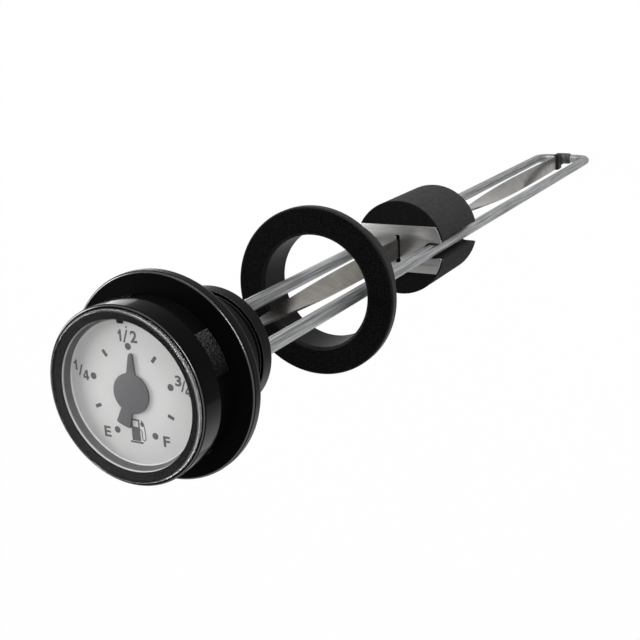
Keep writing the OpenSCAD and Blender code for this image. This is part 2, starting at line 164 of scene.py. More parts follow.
half_floor = mm(3000)
floor_level = cad_box[0][2] - mm(0.1)
floor_corners = [(-1, -1), (1, -1), (1, 1), (-1, 1)]
floor_mesh = bpy.data.meshes.new("floor")
floor_mesh.from_pydata(
    [(x * half_floor, y * half_floor, floor_level) for x, y in floor_corners], [], [(0, 1, 2, 3)]
)
floor_mesh.materials.append(paper)
floor = bpy.data.objects.new("floor", floor_mesh)
bpy.context.scene.collection.objects.link(floor)


def soft_box(name, power, size, place, aim, spread=180):
    """Area lamp at a place, aimed at a point, both in mm; a grid narrows its beam to the spread."""
    lamp = bpy.data.lights.new(name, "AREA")
    lamp.shape = "RECTANGLE"
    lamp.energy = power
    lamp.size, lamp.size_y = mm(size[0]), mm(size[1])
    lamp.spread = math.radians(spread)
    box = bpy.data.objects.new(name, lamp)
    box.location = mm(*place)
    box.rotation_mode = "QUATERNION"
    box.rotation_quaternion = (mm(*aim) - mm(*place)).to_track_quat("-Z", "Y")
    box.visible_camera = False
    bpy.context.scene.collection.objects.link(box)


soft_box("key_box", 1.7, (200, 200), (-450, 60, 270), (0, 0, 10))
soft_box("top_box", 2.0, (400, 300), (60, 480, 40), (0, 0, -80))
soft_box("edge_box", 0.75, (200, 60), (151, 127, 404), (0, 0, 10))
soft_box("low_box", 0.014, (215, 60), (92, -155, -197), (16, -3, 10), spread=70)
soft_box("left_box", 0.06, (90, 50), (-164, 76, -183), (0, 17, 10))

# Moulded head
# One injection moulding of black acetal: flange, round body and hollow neck with a groove for
# the tank's retaining lip. A closed wall between the two magnets keeps the fuel in.


def rounded(corners, steps=5, support=0.08):
    """Closed (radius, height) profile whose (r, z, edge radius) corners are turned into arcs.
    A point beside each arc keeps the flats flat when the surface is shaded smooth."""
    points = []
    for i, (x, y, edge) in enumerate(corners):
        corner = Vector((x, y))
        if not edge:
            points.append(corner)
            continue
        back = (Vector(corners[i - 1][:2]) - corner).normalized()
        ahead = (Vector(corners[(i + 1) % len(corners)][:2]) - corner).normalized()
        half = back.angle(ahead) / 2
        centre = corner + (back + ahead).normalized() * edge / math.sin(half)
        start = corner + back * edge / math.tan(half) - centre
        end = corner + ahead * edge / math.tan(half) - centre
        first = math.atan2(start.y, start.x)
        sweep = (math.atan2(end.y, end.x) - first + math.pi) % (2 * math.pi) - math.pi
        points.append(centre + start + back * support)
        for k in range(steps + 1):
            angle = first + sweep * k / steps
            points.append(centre + edge * Vector((math.cos(angle), math.sin(angle))))
        points.append(centre + end + ahead * support)
    return points


def turned(profile, segments=192):
    """Closed mesh turned round Z from a closed profile of (radius, height) points."""
    shape = bmesh.new()
    rings = []
    for radius, height in profile:
        ring = []
        for k in range(segments if radius > 1e-6 else 1):
            angle = 2 * math.pi * k / segments
            ring.append(shape.verts.new(mm(radius * math.cos(angle), radius * math.sin(angle), height)))
        rings.append(ring)
    for ring, following in zip(rings, rings[1:] + rings[:1]):
        if len(ring) == len(following) == 1:
            continue
        for k in range(segments):
            n = (k + 1) % segments
            walk = ((ring, k), (ring, n), (following, n), (following, k))
            shape.faces.new(list(dict.fromkeys(side[i % len(side)] for side, i in walk)))
    return closed_mesh(shape)


def closed_mesh(shape):
    """Mesh of a bmesh, with doubles merged and its faces pointing outwards."""
    bmesh.ops.remove_doubles(shape, verts=shape.verts, dist=1e-7)
    bmesh.ops.recalc_face_normals(shape, faces=shape.faces)
    mesh = bpy.data.meshes.new("shape")
    shape.to_mesh(mesh)
    shape.free()
    return mesh


def evaluated(blank):
    """Plain mesh of an object with its modifiers; the object is removed."""
    bpy.context.view_layer.update()
    final = blank.evaluated_get(bpy.context.evaluated_depsgraph_get())
    mesh = bpy.data.meshes.new_from_object(final)
    bpy.data.objects.remove(blank)
    return mesh


def machined(mesh, tools, operation="DIFFERENCE"):
    """Mesh after each tool mesh has been cut from it, or joined to it with UNION."""
    blank = bpy.data.objects.new("blank", mesh)
    bpy.context.scene.collection.objects.link(blank)
    cutters = [bpy.data.objects.new("cutter", tool) for tool in tools]
    for cutter in cutters:
        bpy.context.scene.collection.objects.link(cutter)
        step = blank.modifiers.new("step", "BOOLEAN")
        step.operation = operation
        step.solver = "EXACT"
        step.object = cutter
    result = evaluated(blank)
    for cutter in cutters:
        bpy.data.objects.remove(cutter)
    return result


def rod_blank(radius, low, high, x=0):
    """Mesh of a plain round bar along Z, to cut a hole with."""
    bar = turned([(0, low), (radius, low), (radius, high), (0, high)], 64)
    bar.transform(Matrix.Translation(mm(x, 0, 0)))
    return bar


def fit(name, mesh, finish, body, slot, *nodes, crease=35):
    """Piece of the gauge: its mesh, material, body and the nodes it replaces; the slot is not used."""
    piece = bpy.data.objects.new(name, mesh)
    bpy.context.scene.collection.objects.link(piece)
    mesh.name = name
    mesh.materials.clear()
    mesh.materials.append(finish)
    mesh.shade_smooth()
    mesh.set_sharp_from_angle(angle=math.radians(crease))
    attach(piece, body)
    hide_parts(*nodes)
    return piece


def grain(size):
    """Noise scale, per metre, whose spots are about this many millimetres across."""
    return 1000 / size


def mottled(tree, place, spot, detail, dark, light):
    """Noise with spots of that many mm across, and the colour that it blends from two."""
    noise = add_node(tree, "ShaderNodeTexNoise", {"Vector": place, "Scale": grain(spot), "Detail": detail})
    blend = add_node(
        tree,
        "ShaderNodeMix",
        {"Factor": noise.outputs["Fac"], "A": linear(dark), "B": linear(light)},
        data_type="RGBA",
    )
    return noise.outputs["Fac"], blend.outputs["Result"]


def by_normal(tree, wall, edge, face):
    """Value by how far the surface faces up: for side walls, for edges that handling has rubbed,
    and for flat faces."""
    normal = add_node(tree, "ShaderNodeTexCoord").outputs["Normal"]
    upright = add_node(tree, "ShaderNodeSeparateXYZ", {0: normal})
    ramp = add_node(tree, "ShaderNodeValToRGB", {"Fac": upright.outputs["Z"]})
    stops = ramp.color_ramp.elements
    stops[0].position, stops[0].color = 0.6, (wall, wall, wall, 1)
    stops[1].position, stops[1].color = 0.985, (face, face, face, 1)
    for position in (0.72, 0.93):
        stops.new(position).color = (edge, edge, edge, 1)
    return ramp.outputs["Color"]


def new_finish(name, bent=False):
    """Material with one Principled shader, its node tree, that shader and where a point lies: in
    the object or, on bent stock, in the straight stock before it was bent."""
    material, tree = new_material(name)
    shader = add_node(tree, "ShaderNodeBsdfPrincipled")
    add_node(tree, "ShaderNodeOutputMaterial", {"Surface": shader.outputs[0]})
    if bent:
        where = add_node(tree, "ShaderNodeAttribute", attribute_name="lay").outputs["Vector"]
    else:
        where = add_node(tree, "ShaderNodeTexCoord").outputs["Object"]
    return material, tree, shader, where


# Acetal moulded in a fine-sparked tool: near black, satin, with a faint grain and bright edges.
# The grain is drawn coarser than the real one, so that it shows.
acetal, tree, shader, where = new_finish("satin_moulded_acetal")
spark = add_node(tree, "ShaderNodeTexNoise", {"Vector": where, "Scale": grain(0.35), "Detail": 3})
_, tone = mottled(tree, where, 6, 2, "#050505", "#090909")
dimples = add_node(
    tree, "ShaderNodeBump", {"Height": spark.outputs["Fac"], "Strength": 0.5, "Distance": mm(0.045)}
)
set_inputs(
    shader,
    {
        "Base Color": tone,
        "Roughness": by_normal(tree, 0.38, 0.14, 0.36),
        "Normal": dimples.outputs["Normal"],
        "Specular IOR Level": by_normal(tree, 0.05, 1.0, 0.008),
    },
)

body_r, body_top = 15.97, 7.8
well_r, well_floor = 10.0, 2.2
flange_r, flange_t, flange_rise = 20.4, 3.0, 0.4
neck_r, neck_end = 12.85, -16
groove_depth, groove_top, groove_bottom = 0.8, -11, -13
plate_seat_r, plate_seat = 11.83, -14.8
chamber_r, chamber_top = 7.4, 0.2
bearing_hole_r, bearing_hole_top = 1.23, 1.2
head_profile = rounded(
    [
        (0, well_floor, 0),
        (well_r, well_floor, 0.3),
        (well_r, body_top, 0.2),
        (body_r, body_top, 0.2),
        (body_r, flange_t + flange_rise, 0),
        (flange_r, flange_t, 0.5),
        (flange_r, 0, 1.4),
        (neck_r, 0, 0.25),
        (neck_r, groove_top, 0.15),
        (neck_r - groove_depth, groove_top, 0.12),
        (neck_r - groove_depth, groove_bottom, 0.12),
        (neck_r, groove_bottom, 0.15),
        (neck_r, neck_end, 0.2),
        (plate_seat_r, neck_end, 0.15),
        (plate_seat_r, plate_seat, 0),
        (chamber_r, plate_seat, 0.15),
        (chamber_r, chamber_top, 0),
        (bearing_hole_r, chamber_top, 0),
        (bearing_hole_r, bearing_hole_top, 0),
        (0, bearing_hole_top, 0),
    ]
)
rod_r, rod_play = 1.6, 0.03
leg_x, leg_top = 9.65, -4.5
rod_sockets = [rod_blank(rod_r + rod_play, neck_end - 4, leg_top, x) for x in (-leg_x, leg_x)]
head_mesh = machined(turned(head_profile), rod_sockets)
fit("head_moulding", head_mesh, acetal, "frame", "head", "head")

# Dial capsule
# A polished black moulding that is snapped on to the head and holds the dial and its magnet.
# Four snap tabs hang from its skirt over the head's body, each with a rougher, grained face whose pale
# tone is partly a painted highlight.

cup_r, skirt_bottom, lip_top = 17.0, 8.6, 13.8
tab_count, tab_mean_r, tab_t, tab_height, tab_middle = 4, 16.3, 0.6, 5.1, 6.65
tab_pitch = 2 * math.pi / tab_count
first_tab, half_tab = math.radians(28), math.radians(15)

# Polished polycarbonate: black with a sharper gloss than the head, and grained snap tabs whose pale tone
# is partly a painted highlight. The pale grain fades from one end of each tab to the other, which is
# painted highlight too.
capsule_finish, tree, shader, where = new_finish("polished_black_polycarbonate")
_, tone = mottled(tree, where, 5, 3, "#040404", "#070707")
level = add_node(tree, "ShaderNodeSeparateXYZ", {0: where})
on_tab = add_node(
    tree,
    "ShaderNodeMapRange",
    {
        "Value": level.outputs["Z"],
        "From Min": mm(skirt_bottom - 0.05),
        "From Max": mm(skirt_bottom - 0.15),
        "To Min": 0.0,
        "To Max": 1.0,
    },
)
tooth = add_node(tree, "ShaderNodeTexNoise", {"Vector": where, "Scale": grain(0.3), "Detail": 5})
rough_spots = add_node(
    tree, "ShaderNodeMapRange", {"Value": tooth.outputs["Fac"], "From Min": 0.42, "From Max": 0.66}
)
bearing = add_node(
    tree, "ShaderNodeMath", {0: level.outputs["Y"], 1: level.outputs["X"]}, operation="ARCTAN2"
)
from_tab_end = add_node(
    tree,
    "ShaderNodeMath",
    {0: bearing.outputs[0], 1: 2 * math.pi - first_tab + half_tab},
    operation="ADD",
)
along_tab = add_node(
    tree, "ShaderNodeMath", {0: from_tab_end.outputs[0], 1: tab_pitch}, operation="MODULO"
)
# Painted highlight: the tabs' pale spots fade out towards one end of each tab.
painted_highlight_fade = add_node(
    tree,
    "ShaderNodeMapRange",
    {"Value": along_tab.outputs[0], "From Max": 2 * half_tab, "To Min": 0.05, "To Max": 1.2},
)
highlighted_spots = add_node(
    tree,
    "ShaderNodeMath",
    {0: rough_spots.outputs["Result"], 1: painted_highlight_fade.outputs["Result"]},
    operation="MULTIPLY",
)
# The pale grey of the tab spots is partly a painted highlight, partly the rougher grain's own tone.
tab_grain_and_highlight = add_node(
    tree,
    "ShaderNodeMix",
    {"Factor": highlighted_spots.outputs[0], "A": linear("#0a0a0a"), "B": linear("#4e4e4e")},
    data_type="RGBA",
)
colour = add_node(
    tree,
    "ShaderNodeMix",
    {"Factor": on_tab.outputs["Result"], "A": tone, "B": tab_grain_and_highlight.outputs["Result"]},
    data_type="RGBA",
)
polish = add_node(
    tree, "ShaderNodeMapRange", {"Value": on_tab.outputs["Result"], "To Min": 0.12, "To Max": 0.5}
)
set_inputs(
    shader,
    {
        "Base Color": colour.outputs["Result"],
        "Roughness": polish.outputs["Result"],
        "Specular IOR Level": by_normal(tree, 0.02, 1.0, 0.015),
    },
)

well_play = 0.2
cup_seat = body_top + 0.03
cup_floor = 8.8
magnet_well_r, magnet_well_floor = 8.8, 3.4
dial_ledge_r, dial_ledge = 13.87, 10.4
dial_r, dial_play = 15.04, 0.03
shoulder = 12.9
lip_r = 16.3
pivot_hole_r, pivot_hole_floor = 0.43, 2.9
capsule_profile = rounded(
    [
        (0, well_floor + well_play, 0),
        (well_r - well_play, well_floor + well_play, 0.5),
        (well_r - well_play, cup_seat, 0.2),
        (body_r, cup_seat, 0.1),
        (body_r, skirt_bottom, 0.1),
        (cup_r, skirt_bottom, 0.2),
        (cup_r, lip_top, 0.42),
        (lip_r, lip_top, 0.1),
        (lip_r, shoulder, 0.05),
        (dial_r + dial_play, shoulder, 0.1),
        (dial_r + dial_play, dial_ledge, 0),
        (dial_ledge_r, dial_ledge, 0.1),
        (dial_ledge_r, cup_floor, 0.2),
        (magnet_well_r, cup_floor, 0.2),
        (magnet_well_r, magnet_well_floor, 0.3),
        (pivot_hole_r, magnet_well_floor, 0),
        (pivot_hole_r, pivot_hole_floor, 0),
        (0, pivot_hole_floor, 0),
    ],
    support=0.05,
)


def snap_tab(middle):
    """Tab bent round the body: a bar with rounded edges, wrapped to the capsule's radius."""
    bar = bmesh.new()
    tab_arc = tab_mean_r * 2 * half_tab
    bmesh.ops.create_cube(bar, size=1)
    bmesh.ops.scale(bar, vec=mm(tab_arc, tab_t, tab_height), verts=bar.verts)
    bmesh.ops.bevel(bar, geom=bar.edges[:], offset=mm(0.18), segments=3, affect="EDGES", profile=0.5)
    cuts = 16
    for k in range(1, cuts):
        whole = bar.verts[:] + bar.edges[:] + bar.faces[:]
        plane = mm(tab_arc * (k / cuts - 0.5), 0, 0)
        bmesh.ops.bisect_plane(bar, geom=whole, plane_co=plane, plane_no=(1, 0, 0))
    for point in bar.verts:
        angle = middle + point.co.x / mm(tab_mean_r)
        radius = mm(tab_mean_r) + point.co.y
        point.co = (radius * math.cos(angle), radius * math.sin(angle), point.co.z + mm(tab_middle))
    return closed_mesh(bar)


tabs = [snap_tab(first_tab + tab_pitch * k) for k in range(tab_count)]
capsule_mesh = machined(turned(capsule_profile), tabs, "UNION")
fit("capsule_moulding", capsule_mesh, capsule_finish, "frame", "capsule", "capsule_cup")

# Dial plate and its printed scale
# A stamped disc, stove-enamelled white, with the scale screen-printed in grey ink: a dot at
# each quarter, a bar between, figures, the letters E and F and the common pump symbol.

# Stove enamel on sheet: matt white with a faint orange peel, darkened towards the rim by painted shade
# from the rim's wall.
enamel, tree, shader, where = new_finish("stoved_white_enamel")
peel = add_node(tree, "ShaderNodeTexNoise", {"Vector": where, "Scale": grain(0.4), "Detail": 2})
_, tone = mottled(tree, where, 9, 2, "#cbcbca", "#d5d5d4")
flat_place = add_node(tree, "ShaderNodeMapping", {"Vector": where, "Scale": (1, 1, 0)})
reach = add_node(tree, "ShaderNodeVectorMath", {0: flat_place.outputs[0]}, operation="LENGTH")
# Painted shade: the white darkens by a fifth from 7 mm out to the rim, where the rim's wall shades it.
painted_rim_shade = add_node(
    tree,
    "ShaderNodeMapRange",
    {
        "Value": reach.outputs["Value"],
        "From Min": mm(7),
        "From Max": mm(14),
        "To Min": 1.0,
        "To Max": 0.8,
    },
)
rim_shaded_tone = add_node(
    tree, "ShaderNodeVectorMath", {0: tone, "Scale": painted_rim_shade.outputs["Result"]}, operation="SCALE"
)
ripple = add_node(
    tree, "ShaderNodeBump", {"Height": peel.outputs["Fac"], "Strength": 0.08, "Distance": mm(0.02)}
)
set_inputs(
    shader,
    {
        "Base Color": rim_shaded_tone.outputs["Vector"],
        "Roughness": 0.6,
        "Normal": ripple.outputs["Normal"],
        "Specular IOR Level": 0.3,
    },
)

dial_hole_r = 1.3
dial_top = dial_ledge + 0.5
dial_corners = [
    (dial_hole_r, dial_ledge, 0),
    (dial_r, dial_ledge, 0.05),
    (dial_r, dial_top, 0.05),
    (dial_hole_r, dial_top, 0),
]
dial_mesh = turned(rounded(dial_corners, support=0.03))
fit("enamelled_dial", dial_mesh, enamel, "frame", "dial", "dial_plate")


def plain_finish(name, spot, detail, dark, light, rough, gloss=0.5, metallic=0.0, relief=None):
    """Finish of one mottled tone; a relief is the strength and the height in mm of its bumps."""
    material, tree, shader, where = new_finish(name)
    height, tone = mottled(tree, where, spot, detail, dark, light)
    set_inputs(shader, {"Base Color": tone, "Roughness": rough, "Specular IOR Level": gloss})
    set_inputs(shader, {"Metallic": metallic})
    if relief:
        bumps = add_node(
            tree,
            "ShaderNodeBump",
            {"Height": height, "Strength": relief[0], "Distance": mm(relief[1])},
        )
        set_inputs(shader, {"Normal": bumps.outputs["Normal"]})
    return material


# Screen ink: flat mid grey with the slight mottle of a thin film over white, drawn coarse enough
# to show.
ink = plain_finish("screen_printed_grey_ink", 0.25, 2, "#4c4c4e", "#666668", 0.7, gloss=0.2)

ink_t = 0.02


def node_mesh(tree, sizes):
    """Plain mesh that a node tree grows from its named sizes, which are in metres and radians."""
    blank = bpy.data.objects.new("blank", bpy.data.meshes.new("blank"))
    bpy.context.scene.collection.objects.link(blank)
    grow = blank.modifiers.new("grow", "NODES")
    grow.node_group = tree
    for item in tree.interface.items_tree:
        if item.in_out == "INPUT" and item.name in sizes:
            grow[item.identifier] = sizes[item.name]
    return evaluated(blank)


def new_tree(name, sizes):
    """Geometry node tree with an input for each named size, and its group input's outputs."""
    tree = bpy.data.node_groups.new(name, "GeometryNodeTree")
    tree.interface.new_socket(name="Geometry", in_out="OUTPUT", socket_type="NodeSocketGeometry")
    for key, value in sizes.items():
        kind = "NodeSocketInt" if isinstance(value, int) else "NodeSocketFloat"
        tree.interface.new_socket(name=key, in_out="INPUT", socket_type=kind)
    return tree, add_node(tree, "NodeGroupInput").outputs


mark_step = math.radians(37.8)
scale_sizes = {
    "count": 9,
    "step": mark_step,
    "first": -4 * mark_step,
    "ring": mm(8.75),
    "level": mm(dial_top + ink_t / 2),
    "dot": mm(0.65),
    "bar_width": mm(0.66),
    "bar_length": mm(1.4),
    "thickness": mm(ink_t),
}
marks, size_of = new_tree("scale_marks", scale_sizes)
spots = add_node(marks, "GeometryNodePoints", {"Count": size_of["count"]})
index = add_node(marks, "GeometryNodeInputIndex").outputs[0]
turn = add_node(
    marks,
    "ShaderNodeMath",
    {0: index, 1: size_of["step"], 2: size_of["first"]},
    operation="MULTIPLY_ADD",
)
reaches = []
for operation in ("SINE", "COSINE"):
    part = add_node(marks, "ShaderNodeMath", {0: turn.outputs[0]}, operation=operation)
    reach = add_node(
        marks, "ShaderNodeMath", {0: part.outputs[0], 1: size_of["ring"]}, operation="MULTIPLY"
    )
    reaches.append(reach.outputs[0])
spot = add_node(marks, "ShaderNodeCombineXYZ", {0: reaches[0], 1: reaches[1], 2: size_of["level"]})
placed = add_node(
    marks, "GeometryNodeSetPosition", {"Geometry": spots.outputs[0], "Position": spot.outputs[0]}
)
dot = add_node(
    marks,
    "GeometryNodeMeshCylinder",
    {"Vertices": 40, "Radius": size_of["dot"], "Depth": size_of["thickness"]},
)
bar_size = add_node(
    marks,
    "ShaderNodeCombineXYZ",
    {0: size_of["bar_width"], 1: size_of["bar_length"], 2: size_of["thickness"]},
)
bar = add_node(marks, "GeometryNodeMeshCube", {"Size": bar_size.outputs[0]})
parity = add_node(marks, "ShaderNodeMath", {0: index, 1: 2.0}, operation="MODULO")
back_turn = add_node(marks, "ShaderNodeMath", {0: turn.outputs[0], 1: -1.0}, operation="MULTIPLY")
facing = add_node(marks, "ShaderNodeCombineXYZ", {2: back_turn.outputs[0]})
joined = add_node(marks, "GeometryNodeJoinGeometry")
for mark, wanted in ((dot, 0.0), (bar, 1.0)):
    chosen = add_node(
        marks, "ShaderNodeMath", {0: parity.outputs[0], 1: wanted, 2: 0.1}, operation="COMPARE"
    )
    stamped = add_node(
        marks,
        "GeometryNodeInstanceOnPoints",
        {
            "Points": placed.outputs[0],
            "Selection": chosen.outputs[0],
            "Instance": mark.outputs["Mesh"],
            "Rotation": facing.outputs[0],
        },
    )
    marks.links.new(stamped.outputs[0], joined.inputs[0])
real = add_node(marks, "GeometryNodeRealizeInstances", {0: joined.outputs[0]})
inked = add_node(marks, "GeometryNodeSetMaterial", {"Geometry": real.outputs[0], "Material": ink})
add_node(marks, "NodeGroupOutput", {0: inked.outputs[0]})

printed = bmesh.new()
printed.from_mesh(node_mesh(marks, scale_sizes))


def flat_mesh(loops, low, high, edge=0.0):
    """Closed plate between two levels, with an outer loop, holes and a rounded edge, all in mm."""
    outline = bpy.data.curves.new("outline", "CURVE")
    outline.dimensions = "2D"
    outline.fill_mode = "BOTH"
    for loop in loops:
        spline = outline.splines.new("POLY")
        spline.points.add(len(loop) - 1)
        for point, (x, y) in zip(spline.points, loop):
            point.co = (x, y, 0, 1)
        spline.use_cyclic_u = True
    outline.extrude = (high - low) / 2 - edge
    outline.bevel_depth = edge
    outline.bevel_resolution = 2
    outline.offset = -edge
    return curve_mesh(outline, Matrix.Translation((0, 0, (high + low) / 2)))


def curve_mesh(data, place):
    """Closed mesh of a flat curve or text that is drawn in mm, moved to its place and to metres."""
    blank = bpy.data.objects.new("blank", data)
    bpy.context.scene.collection.objects.link(blank)
    mesh = evaluated(blank)
    mesh.transform(Matrix.Scale(mm(1), 4) @ place)
    shape = bmesh.new()
    shape.from_mesh(mesh)
    return closed_mesh(shape)


def rectangle(left, bottom, right, top):
    """Corners of an upright rectangle."""
    return [(left, bottom), (right, bottom), (right, top), (left, top)]


one = [(0.42, 0), (1, 0), (1, 1), (0.55, 1), (0.4, 0.85), (0, 0.76), (0, 0.56), (0.42, 0.62)]
four = [(0.52, 0), (0.83, 0), (0.83, 0.2), (1, 0.2), (1, 0.4), (0.83, 0.4), (0.83, 1), (0.5, 1)]
four += [(0, 0.42), (0, 0.2), (0.52, 0.2)]
drawn_figures = {
    "1": [one],
    "/": [[(0, 0), (0.3, 0), (1, 1), (0.7, 1)]],
    "4": [four, [(0.26, 0.4), (0.52, 0.4), (0.52, 0.7)]],
}


def glyph(text, middle, width, height):
    """Printed figure of an exact size, its middle at a point of the dial: drawn, or from the font."""
    if text in drawn_figures:
        mesh = flat_mesh(drawn_figures[text], 0, 1)
    else:
        letter = bpy.data.curves.new("letter", "FONT")
        letter.body = text
        letter.extrude = 0.5
        letter.offset = 0.03
        mesh = curve_mesh(letter, Matrix.Identity(4))
    lows = [min(point.co[axis] for point in mesh.vertices) for axis in range(3)]
    highs = [max(point.co[axis] for point in mesh.vertices) for axis in range(3)]
    scale = [mm(size) / (high - low) for size, low, high in zip((width, height, ink_t), lows, highs)]
    centre = (Vector(lows) + Vector(highs)) / 2
    target = mm(*middle, dial_top + ink_t / 2)
    resized = Matrix.Diagonal((*scale, 1))
    mesh.transform(Matrix.Translation(target) @ resized @ Matrix.Translation(-centre))
    return mesh


figures = [
    ("1", (-1.62, 10.65), 0.74, 2.25),
    ("/", (-0.35, 10.6), 1.2, 2.4),
    ("2", (1.42, 10.65), 1.5, 2.25),
    ("1", (-12.42, 3.85), 0.7, 2.0),
    ("/", (-11.35, 2.95), 1.1, 2.2),
    ("4", (-10.2, 2.1), 1.35, 2.0),
    ("3", (10.2, 3.6), 1.35, 2.0),
    ("/", (11.2, 2.75), 1.1, 2.2),
    ("4", (12.2, 1.95), 1.3, 2.0),
    ("E", (-6.53, -8.36), 1.5, 2.1),
    ("F", (6.62, -8.38), 1.45, 2.1),
]
for figure in figures:
    printed.from_mesh(glyph(*figure))


def stroke(points, width):
    """Outline of a line of that width through the points."""
    sides = ([], [])
    for i, point in enumerate(points):
        before, after = Vector(points[max(i - 1, 0)]), Vector(points[min(i + 1, len(points) - 1)])
        across = (after - before).normalized().orthogonal() * width / 2
        sides[0].append(tuple(Vector(point) + across))
        sides[1].append(tuple(Vector(point) - across))
    return sides[0] + sides[1][::-1]


pump_body = [rectangle(-0.97, -9.2, 0.92, -4.98), rectangle(-0.62, -6.5, 0.6, -5.3)]
pump_foot = [rectangle(-1.4, -9.66, 1.42, -9.3)]
hose_line = [(0.95, -6.9), (1.2, -6.95), (1.3, -7.2), (1.32, -8.4), (1.42, -8.85), (1.68, -9.0)]
hose_line += [(1.95, -8.85), (2.08, -8.4), (2.05, -7.6), (1.95, -6.6), (1.85, -5.9), (1.6, -5.45)]
hose_line += [(1.25, -5.1)]
pump_hose = [stroke(hose_line, 0.2)]
pump_nozzle = [[(1.05, -5.75), (1.45, -5.2), (1.75, -5.45), (1.75, -6.2), (1.4, -6.35)]]
top_tick = [rectangle(-0.12, 12.1, 0.18, 12.5)]
for loops in (pump_body, pump_foot, pump_hose, pump_nozzle, top_tick):
    printed.from_mesh(flat_mesh(loops, dial_top, dial_top + ink_t))
print_mesh = bpy.data.meshes.new("print")
printed.to_mesh(print_mesh)
fit("scale_print", print_mesh, ink, "frame", "dial")

# Dial rim
# A moulded ring that stands on the dial and slopes up to the lens. Its wall is mid grey, and painted
# highlights along both its edges run round the dial as thin pale lines.

rim_bottom, rim_top = dial_top + ink_t, 12.88

# Moulded polystyrene: matt mid grey with a soft sheen, and pale bands of painted highlight along both
# edges.
styrene, tree, shader, where = new_finish("moulded_grey_polystyrene")
level = add_node(tree, "ShaderNodeSeparateXYZ", {0: where})
climb = add_node(
    tree,
    "ShaderNodeMapRange",
    {"Value": level.outputs["Z"], "From Min": mm(dial_top), "From Max": mm(shoulder)},
)
# Painted highlight: near-white bands at the foot and the top of the wall, mid grey between.
painted_edge_highlights = add_node(tree, "ShaderNodeValToRGB", {"Fac": climb.outputs["Result"]})
stops = painted_edge_highlights.color_ramp.elements
stops[0].position, stops[0].color = 0.1, linear("#ececec")
stops[1].position, stops[1].color = 0.86, linear("#e4e4e4")
for position in (0.2, 0.74):
    stops.new(position).color = linear("#606060")
_, tone = mottled(tree, where, 1.5, 3, "#dadada", "#ffffff")
tone_with_edge_highlights = add_node(
    tree,
    "ShaderNodeMix",
    {"Factor": 1.0, "A": painted_edge_highlights.outputs["Color"], "B": tone},
    data_type="RGBA",
    blend_type="MULTIPLY",
)
set_inputs(shader, {"Base Color": tone_with_edge_highlights.outputs["Result"], "Roughness": 0.5, "Specular IOR Level": 0.2})

rim_r, rim_slope = 13.67, 0.8
rim_profile = rounded(
    [
        (rim_r, rim_bottom, 0),
        (dial_r, rim_bottom, 0),
        (dial_r, rim_top, 0.05),
        (rim_r + rim_slope, rim_top, 0.12),
    ],
    support=0.04,
)
fit("sloped_rim", turned(rim_profile), styrene, "frame", "dial_rim", "dial_rim")

# Sealing ring
# A flat black rubber washer between the cup and the lens, with one small key at 12 o'clock
# that keeps it from turning.

# Cut rubber sheet: flat black, fully matt, with a fine tooth.
washer_rubber = plain_finish(
    "cut_black_rubber_sheet", 0.3, 4, "#060606", "#0e0e0e", 0.8, gloss=0.02
)


def circle(radius, x=0, y=0, start=0.0, end=360.0, steps=128):
    """Points round a circle or an arc, in mm and degrees."""
    points = []
    for k in range(steps if abs(end - start) >= 360 else steps + 1):
        angle = math.radians(start + (end - start) * k / steps)
        points.append((x + radius * math.cos(angle), y + radius * math.sin(angle)))
    return points


ring_inner, ring_outer, ring_t = 14.37, 16.27, 0.4
key_left, key_right, key_in = -0.1, 1.2, ring_inner - 0.65
key_loop = circle(
    ring_inner,
    start=math.degrees(math.acos(key_left / ring_inner)),
    end=360 + math.degrees(math.acos(key_right / ring_inner)),
    steps=126,
)
key_loop += [(key_right - 0.1, key_in), (key_left + 0.15, key_in)]
washer_mesh = flat_mesh([circle(ring_outer), key_loop], shoulder, shoulder + ring_t)
fit("keyed_sealing_ring", washer_mesh, washer_rubber, "frame", "black_ring", "lens_ring")

# Lens
# A flat disc of clear acrylic pressed into the cup's lip. Its front edge is rounded and shows
# the light as two fine rings.

# Polished acrylic: clear, faintly smeared, with little gloss on its face and a bright edge. Rays
# that gather light on the dial pass straight through, as shadow rays do, so that the dial counts
# each lamp once.
acrylic, tree = new_material("polished_clear_acrylic")
where = add_node(tree, "ShaderNodeTexCoord").outputs["Object"]
_, smear = mottled(tree, where, 7, 4, "#f4f5f5", "#ffffff")
clear = add_node(
    tree,
    "ShaderNodeBsdfPrincipled",
    {
        "Base Color": smear,
        "Roughness": by_normal(tree, 0.2, 0.05, 0.0),
        "IOR": 1.49,
        "Transmission Weight": 1.0,
        "Specular Tint": by_normal(tree, 1.0, 1.0, 0.02),
    },
)
let_through = add_node(tree, "ShaderNodeBsdfTransparent")
path = add_node(tree, "ShaderNodeLightPath")
surface = clear
for ray in ("Is Diffuse Ray", "Is Shadow Ray"):
    surface = add_node(
        tree,
        "ShaderNodeMixShader",
        {0: path.outputs[ray], 1: surface.outputs[0], 2: let_through.outputs[0]},
    )
add_node(tree, "ShaderNodeOutputMaterial", {"Surface": surface.outputs[0]})

lens_bottom, lens_top = shoulder + ring_t + 0.02, 14.5
lens_corners = [
    (0, lens_bottom, 0),
    (ring_outer, lens_bottom, 0.06),
    (ring_outer, lens_top, 0.5),
    (0, lens_top, 0),
]
fit("clear_lens", turned(rounded(lens_corners, steps=8)), acrylic, "frame", "lens", "lens")

# Pointer
# Stamped from thin sheet and sprayed grey: a tapered finger, a disc over the bush and a flared
# counterweight set 16 degrees off the finger's line.

# Sprayed paint on sheet: flat mid grey with a fine speckle, drawn coarse enough to show.
pointer_paint = plain_finish(
    "sprayed_matt_grey_paint", 0.3, 3, "#525254", "#666668", 0.55, gloss=0.3, relief=(0.1, 0.02)
)

